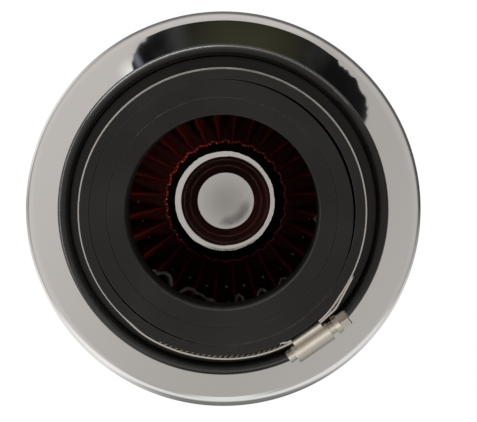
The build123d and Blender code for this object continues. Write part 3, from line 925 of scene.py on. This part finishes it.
def lit_side_fullness(angle):
    """Gives how full the ring is at this angle, from full where the neck lamp lights it down to a third:
    painted light.
    """
    return WET_LEAST + (1 - WET_LEAST) * (0.5 + 0.5 * math.cos(angle - LIT_FULL_ANGLE))


bpy.ops.object.select_all(action="DESELECT")
bpy.ops.mesh.primitive_torus_add(
    major_radius=WET_R,
    minor_radius=WET_TUBE_R,
    major_segments=256,
    minor_segments=6,
)
wet_ring = bpy.context.object
wet_ring.name = "wet_ring"
bpy.ops.object.mode_set(mode="EDIT")
bpy.ops.mesh.select_all(action="SELECT")
bpy.ops.mesh.subdivide(number_cuts=1)
bpy.ops.object.mode_set(mode="OBJECT")
for vertex in wet_ring.data.vertices:
    angle = math.atan2(vertex.co.y, vertex.co.x)
    outward = Vector((math.cos(angle), math.sin(angle), 0))
    off_line = vertex.co - outward * WET_R
    swell = 1 + WET_SWELL * math.cos(2 * PLEAT_COUNT * angle) + WET_LUMPS * noise.noise(vertex.co * LUMP_WAVE)
    line_r = WET_R + WET_SCALLOP * math.cos(PLEAT_COUNT * angle)
    # The tube is fuller where the neck lamp lights it: painted light.
    vertex.co = outward * line_r + off_line * swell * lit_side_fullness(angle)
    vertex.co.z += pleat_low.z
bpy.ops.object.shade_smooth()
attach(wet_ring, "filter")
print("wet ring:", len(wet_ring.data.polygons), "faces")


# %% Wet the ring with oil
def mottled_skin(name, scales, tones, roughness, bump=0.0, constants=None):
    """Makes a finish whose tone drifts between two colours and whose grain varies the roughness."""
    material, tree, shader = new_finish(name)
    grain, drift = grain_and_drift(tree, *scales)
    tree.links.new(mix_colour(tree, drift, *tones), shader.inputs["Base Color"])
    tree.links.new(smooth_step(tree, grain, *NOISE_RANGE, *roughness), shader.inputs["Roughness"])
    for socket_name, value in (constants or {}).items():
        shader.inputs[socket_name].default_value = value
    if bump:
        bump_into(tree, shader, grain, bump)
    print("finish:", name)
    return material


wet_tones = ((0.13, 0.006, 0.004, 1), (0.38, 0.018, 0.012, 1))
wet_oil = mottled_skin("wet_red_oil", (900.0, 120.0), wet_tones, (0.16, 0.34), 0.0001, {"Coat Weight": 0.15})
wet_ring.data.materials.append(wet_oil)

# %% [markdown]
# ## Poured edge of the potting
#
# A poured edge is never a true circle. The potting rounds over the chromed ring of the cap with a soft,
# wandering lip, fuller at the right. Another torus, pressed flat and pushed in and out by noise, gives that
# lip.

# %% Pour the potting's lip
LIP_R = 23.1 * MM
LIP_TUBE_R = 0.65 * MM
LIP_FULLER = 0.42 * MM
LIP_WANDER = 0.35 * MM
LIP_RISE = 0.2 * MM
LIP_FLATNESS = 0.8
RING_TOP = 4.6 * MM
bpy.ops.object.select_all(action="DESELECT")
bpy.ops.mesh.primitive_torus_add(
    major_radius=LIP_R,
    minor_radius=LIP_TUBE_R,
    major_segments=360,
    minor_segments=10,
)
poured_lip = bpy.context.object
poured_lip.name = "poured_lip"
for vertex in poured_lip.data.vertices:
    angle = math.atan2(vertex.co.y, vertex.co.x)
    outward = Vector((math.cos(angle), math.sin(angle), 0))
    wander = noise.noise(outward * 3.0) + 0.5 * noise.noise(outward * 14.0)
    vertex.co += outward * (wander * LIP_WANDER - LIP_FULLER * math.cos(angle))
    vertex.co.z = RING_TOP + LIP_RISE + vertex.co.z * LIP_FLATNESS
bpy.ops.object.shade_smooth()
poured_lip.data.materials.append(potting)
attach(poured_lip, "filter")
print("poured lip at", round(1000 * RING_TOP, 1), "mm")

# %% [markdown]
# ## Drops that have set
#
# A small drop has set on the potting in the pocket of each near fold, and two beads of oil hang on the wet
# ring at every fold. Both show as specks: the drops' pale grey and the beads' pale pink are painted
# highlights, far lighter than the black potting and the red oil. One drop is a flattened, dented ball,
# modelled once, copied to each place, and given its own turn and size.

# %% Model one drop
DROP_R = 1.0 * MM
DROP_DENT = 0.25
DROP_FLATNESS = 0.6
bpy.ops.object.select_all(action="DESELECT")
bpy.ops.mesh.primitive_ico_sphere_add(subdivisions=2, radius=DROP_R)
first_drop = bpy.context.object
for vertex in first_drop.data.vertices:
    dent = 1 + DROP_DENT * noise.noise(vertex.co * LUMP_WAVE)
    vertex.co = Vector((vertex.co.x * dent, vertex.co.y * dent, vertex.co.z * DROP_FLATNESS))
bpy.ops.object.shade_smooth()
print("one drop:", len(first_drop.data.polygons), "faces")


# %% Helpers that join pieces and set drops
def join_pieces(name, pieces):
    """Joins objects into one piece with this name."""
    bpy.ops.object.select_all(action="DESELECT")
    for piece in pieces:
        piece.select_set(True)
    bpy.context.view_layer.objects.active = pieces[0]
    bpy.ops.object.join()
    bpy.context.object.name = name
    return bpy.context.object


def set_drops(name, places, finish):
    """Copies the drop to each (place, size), turned at random, and joins the copies into one piece."""
    drops = []
    for place, size in places:
        drop = first_drop.copy()
        drop.data = first_drop.data.copy()
        bpy.context.collection.objects.link(drop)
        turn = Matrix.Rotation(random.uniform(0, 6.28), 4, "Z")
        drop.data.transform(Matrix.Translation(place) @ turn @ Matrix.Scale(size, 4))
        drops.append(drop)
    joined = join_pieces(name, drops)
    joined.data.materials.append(finish)
    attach(joined, "filter")
    print(name, "with", len(drops), "drops")
    return joined


print("join and drop helpers ready")

# %% Set the drops in the pockets and the beads on the ring
POCKET_R = 38.7 * MM
BEAD_RING_R = 26.5 * MM
NEAR_FOLDS = range(14, 28)
random.seed(11)
pocket_places = []
bead_places = []
for fold in range(PLEAT_COUNT):
    angle = 2 * math.pi * fold / PLEAT_COUNT + random.uniform(-0.012, 0.012)
    ring_r = POCKET_R + random.uniform(-0.7, 0.7) * MM
    place = Vector((ring_r * math.cos(angle), ring_r * math.sin(angle), pleat_low.z + 0.15 * MM))
    if fold in NEAR_FOLDS:
        pocket_places.append((place, random.uniform(0.4, 0.6)))
    for side in (-0.25, 0.25):
        angle = 2 * math.pi * (fold + side) / PLEAT_COUNT + random.uniform(-0.02, 0.02)
        ring_r = BEAD_RING_R + random.uniform(-0.2, 0.25) * MM
        place = Vector((ring_r * math.cos(angle), ring_r * math.sin(angle), pleat_low.z + 0.45 * MM))
        # Beads grow with the same lit-side fullness, larger where the neck lamp lights: painted light.
        bead_places.append((place, random.uniform(0.3, 0.55) * lit_side_fullness(angle)))

# Pale grey drops on black potting: painted highlight.
drop_highlight_tones = ((0.16, 0.13, 0.125, 1), (0.34, 0.30, 0.29, 1))
drop_skin = mottled_skin("cured_drop", (900.0, 200.0), drop_highlight_tones, (0.1, 0.22), constants={"IOR": 1.75})
# Pale pink beads of deep red oil: painted highlight.
bead_highlight_tones = ((0.45, 0.10, 0.08, 1), (0.8, 0.38, 0.32, 1))
bead_skin = mottled_skin("oil_bead", (900.0, 200.0), bead_highlight_tones, (0.08, 0.2))
potting_drops = set_drops("potting_drops", pocket_places, drop_skin)
oil_beads = set_drops("oil_beads", bead_places, bead_skin)
bpy.data.objects.remove(first_drop)

# %% [markdown]
# ## Flash inside the neck
#
# The mould left thin rubber flash on the lower lip inside the neck, and it has torn into curls at the near
# side. Each curl is a curve from the lip, in over the folds and back, thick and thin along its way. Its
# mesh is then pushed about by noise, so that it looks torn. Vector noise takes its seed from the clock, so
# the seed is set first, and every run tears the curls alike.

# %% Plan the curls of flash
LIP_EDGE_R = 38.7 * MM
LIP_EDGE_Z = 119.3 * MM
CURL_DROP = 0.4
CURL_R = 1.55 * MM
CURLS = (
    (
        (-135.5, 0.0, 0.5),
        (-134.5, 2.0, 0.65),
        (-130.5, 3.6, 0.75),
        (-127.0, 2.5, 0.7),
        (-124.5, 1.0, 0.75),
        (-123.5, 0.0, 0.4),
    ),
    (
        (-117.5, 0.0, 0.4),
        (-116.0, 2.2, 0.6),
        (-111.5, 3.5, 0.75),
        (-108.0, 2.2, 0.6),
        (-104.5, 2.4, 0.5),
        (-100.5, 0.9, 0.45),
        (-97.0, 0.9, 0.8),
        (-95.5, 0.0, 0.6),
    ),
    ((-82.0, 0.0, 0.5), (-81.5, 3.0, 0.55), (-78.2, 2.2, 0.5), (-77.6, 0.0, 0.55)),
    ((-68.5, 0.0, 0.4), (-67.0, 1.8, 0.5), (-63.5, 2.2, 0.55), (-62.5, 0.0, 0.4)),
    ((-53.5, 0.0, 0.35), (-51.5, 1.2, 0.4), (-49.0, 1.4, 0.45), (-47.5, 0.0, 0.3)),
    ((-139.0, 0.0, 0.35), (-138.0, 1.0, 0.45), (-136.5, 0.8, 0.4), (-136.0, 0.0, 0.3)),
    ((-87.5, 0.0, 0.3), (-87.0, 0.8, 0.4), (-86.0, 0.0, 0.3)),
    ((-8.5, 0.0, 0.35), (-7.0, 1.2, 0.45), (-5.5, 0.9, 0.4), (-5.0, 0.0, 0.3)),
)
print("bends, as degrees round, mm inwards and share of the full thickness:", sum(map(len, CURLS)))

# %% Bend the curls
curls = []
for bends in CURLS:
    bpy.ops.object.select_all(action="DESELECT")
    bpy.ops.curve.primitive_nurbs_path_add()
    curl = bpy.context.object
    curl.data.splines.clear()
    spline = curl.data.splines.new("NURBS")
    spline.points.add(len(bends) - 1)
    for point, (degrees, inward, thickness) in zip(spline.points, bends):
        angle = math.radians(degrees)
        radius = LIP_EDGE_R - inward * MM
        height = LIP_EDGE_Z - CURL_DROP * inward * MM
        point.co = (radius * math.cos(angle), radius * math.sin(angle), height, 1.0)
        point.radius = thickness
    spline.order_u = 3
    spline.use_endpoint_u = True
    curl.data.bevel_depth = CURL_R
    curl.data.bevel_resolution = 2
    curl.data.resolution_u = 8
    curl.data.use_fill_caps = True
    bpy.ops.object.convert(target="MESH")
    curls.append(bpy.context.object)
print("curls of flash:", len(curls))

# %% Tear the curls
CURL_RAG = 0.45 * MM
CURL_RAG_WAVE = 800
flash = join_pieces("flash_curls", curls)
noise.seed_set(5)
for vertex in flash.data.vertices:
    vertex.co += noise.noise_vector(vertex.co * CURL_RAG_WAVE) * CURL_RAG
bpy.ops.object.shade_smooth()
flash.data.materials.clear()
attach(flash, "filter")
flash_tones = ((0.004, 0.002, 0.002, 1), (0.062, 0.042, 0.039, 1))
flash_skin = mottled_skin("torn_flash", (1200.0, 150.0), flash_tones, (0.55, 0.75), 0.0001)
flash.data.materials.append(flash_skin)
print("torn flash:", len(flash.data.polygons), "faces")

# %% [markdown]
# ## A finer trim ring
#
# A mirror shows every facet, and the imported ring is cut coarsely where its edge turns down. So the ring is
# turned again on the same section, with many more steps round its edge: a circle is extruded along the
# section until it closes. Narrow strips beside the flat plate keep it flat up to its edge.


# %% A helper that turns a ring
def turn_ring(name, section, steps):
    """Extrudes a circle along a closed section of (radius, height) points and gives the ring."""
    ring_r, ring_z = section[-1]
    bpy.ops.object.select_all(action="DESELECT")
    bpy.ops.mesh.primitive_circle_add(vertices=steps, radius=ring_r, location=(0, 0, ring_z))
    ring = bpy.context.object
    ring.name = name
    bpy.ops.object.transform_apply(location=True)
    bpy.ops.object.mode_set(mode="EDIT")
    bpy.ops.mesh.select_all(action="SELECT")
    for next_r, next_z in section:
        bpy.ops.mesh.extrude_edges_move()
        bpy.ops.transform.resize(value=(next_r / ring_r, next_r / ring_r, 1))
        bpy.ops.transform.translate(value=(0, 0, next_z - ring_z))
        ring_r, ring_z = next_r, next_z
    bpy.ops.mesh.select_all(action="SELECT")
    bpy.ops.mesh.remove_doubles(threshold=0.000005)
    bpy.ops.mesh.normals_make_consistent(inside=False)
    bpy.ops.object.mode_set(mode="OBJECT")
    return ring


print("ring helper ready")

# %% Turn the trim ring
TRIM_SEAT_R = 60.7 * MM
TRIM_EDGE_R = 4.0 * MM
TRIM_SHEET = 1.0 * MM
TRIM_STRIP = 0.05 * MM
TRIM_ARC_STEPS = 24
TRIM_STEPS = 320
trim_low, trim_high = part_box("trim_ring")
trim_r = trim_high.x
bend_r, bend_z = trim_r - TRIM_EDGE_R, trim_high.z - TRIM_EDGE_R
turns = [math.pi / 2 * step / TRIM_ARC_STEPS for step in range(TRIM_ARC_STEPS + 1)]


def rolled_edge(radius, turn):
    """Gives a point on the rolled edge, from the plate at no turn to the skirt at a quarter turn."""
    return (bend_r + radius * math.sin(turn), bend_z + radius * math.cos(turn))


trim_section = [(TRIM_SEAT_R, trim_high.z), (bend_r - TRIM_STRIP, trim_high.z)]
trim_section += [rolled_edge(TRIM_EDGE_R, turn) for turn in turns]
trim_section += [(trim_r, trim_low.z), (trim_r - TRIM_SHEET, trim_low.z)]
trim_section += [rolled_edge(TRIM_EDGE_R - TRIM_SHEET, turn) for turn in reversed(turns)]
trim_section += [(bend_r - TRIM_STRIP, trim_high.z - TRIM_SHEET), (TRIM_SEAT_R, trim_high.z - TRIM_SHEET)]
fine_ring = turn_ring("fine_trim_ring", trim_section, TRIM_STEPS)
bpy.ops.object.shade_smooth_by_angle(angle=math.radians(40))
fine_ring.data.materials.append(chrome)
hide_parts("trim_ring")
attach(fine_ring, "filter")
print("trim ring:", len(fine_ring.data.polygons), "faces")

# %% [markdown]
# ## A sleeve that sits a little loose
#
# A rubber sleeve pushed into a rubber neck never touches all round: here a dark gap shows at the upper
# right and a finer one at the lower left. The sleeve is a ring extruded along its section, with a rounded
# mouth. Its outside is then eased in, by less than a millimetre, where the gaps are.

# %% Turn the loose sleeve
SLEEVE_BORE_R = 45.0 * MM
SLEEVE_EDGE = 0.2 * MM
SLEEVE_STEPS = 256
sleeve_low, sleeve_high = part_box("large_reducer")
sleeve_r = sleeve_high.x
sleeve_section = (
    (sleeve_r, sleeve_low.z),
    (sleeve_r, sleeve_high.z - SLEEVE_EDGE),
    (sleeve_r - 0.3 * SLEEVE_EDGE, sleeve_high.z - 0.3 * SLEEVE_EDGE),
    (sleeve_r - SLEEVE_EDGE, sleeve_high.z),
    (sleeve_r - 1.5 * SLEEVE_EDGE, sleeve_high.z),
    (SLEEVE_BORE_R + 1.5 * SLEEVE_EDGE, sleeve_high.z),
    (SLEEVE_BORE_R + SLEEVE_EDGE, sleeve_high.z),
    (SLEEVE_BORE_R + 0.3 * SLEEVE_EDGE, sleeve_high.z - 0.3 * SLEEVE_EDGE),
    (SLEEVE_BORE_R, sleeve_high.z - SLEEVE_EDGE),
    (SLEEVE_BORE_R, sleeve_low.z),
)
loose_sleeve = turn_ring("loose_sleeve", sleeve_section, SLEEVE_STEPS)
print("sleeve:", len(loose_sleeve.data.polygons), "faces")

# %% Ease the sleeve in where the gap shows
GAPS = ((30, 62, 0.9 * MM), (232, 34, 0.45 * MM))
for vertex in loose_sleeve.data.vertices:
    if vertex.co.xy.length > (sleeve_r + SLEEVE_BORE_R) / 2:
        angle = math.degrees(math.atan2(vertex.co.y, vertex.co.x))
        outward = Vector((vertex.co.x, vertex.co.y, 0)).normalized()
        for middle, half, width in GAPS:
            off_gap = abs(math.remainder(angle - middle, 360))
            share = math.cos(min(1.0, off_gap / half) * math.pi / 2)
            vertex.co -= outward * width * share
bpy.ops.object.shade_smooth_by_angle(angle=math.radians(40))
loose_sleeve.data.materials.append(rubber)
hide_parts("large_reducer")
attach(loose_sleeve, "filter")
print("gaps at", [middle for middle, half, width in GAPS], "degrees")

# %% [markdown]
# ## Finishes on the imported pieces
#
# The solids that stay as they are take the finish of their material slot from the record. The cap and the
# pressed parts of the clamp have finishes of their own.

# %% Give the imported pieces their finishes
FINISHES = {"black_rubber": rubber, "chrome": chrome, "stainless": stainless, "potting": potting}
OWN_FINISHES = {"end_cap": cap_chrome, "clamp_housing": pressed, "clamp_screw": pressed}
for part in frame["record"]["subparts"]:
    finish = OWN_FINISHES.get(part["node"], FINISHES.get(part["material_slot"]))
    if finish is not None:
        piece = nodes_by_name[part["node"]]
        piece.data.materials.clear()
        piece.data.materials.append(finish)
        print(part["node"], "takes", finish.name)

# %% [markdown]
# ## Each lamp to its own pieces
#
# A mirror shows each lamp as a hard white square, and the lamps near the lens would put a glare on the flat
# rubber. So the room's lamps are linked to the floor and the rubber, those for the neck to the cloth, the
# potting and what lies on them, one to the drops alone and one to the clamp's dull housing and screw. The
# rest of the metal keeps to the tent.


# %% Link the lamps
def link_lamps(name, lamps, pieces):
    """Lets these lamps light only these pieces."""
    lit = bpy.data.collections.new(name)
    for piece in pieces:
        lit.objects.link(piece)
    for lamp in lamps:
        lamp.light_linking.receiver_collection = lit


inside = [gauze, wet_ring, poured_lip, potting_drops, oil_beads, flash, nodes_by_name["end_potting"]]
rubber_pieces = [nodes_by_name["neck_base"], nodes_by_name["small_reducer"], loose_sleeve]
link_lamps("lit_by_room", room_lamps, [floor, flash] + rubber_pieces)
link_lamps("lit_down_the_neck", neck_lamps, inside)
link_lamps("lit_drops", [pocket_lamp], [potting_drops])
link_lamps("lit_clamp", [clamp_lamp], [nodes_by_name["clamp_housing"], nodes_by_name["clamp_screw"]])
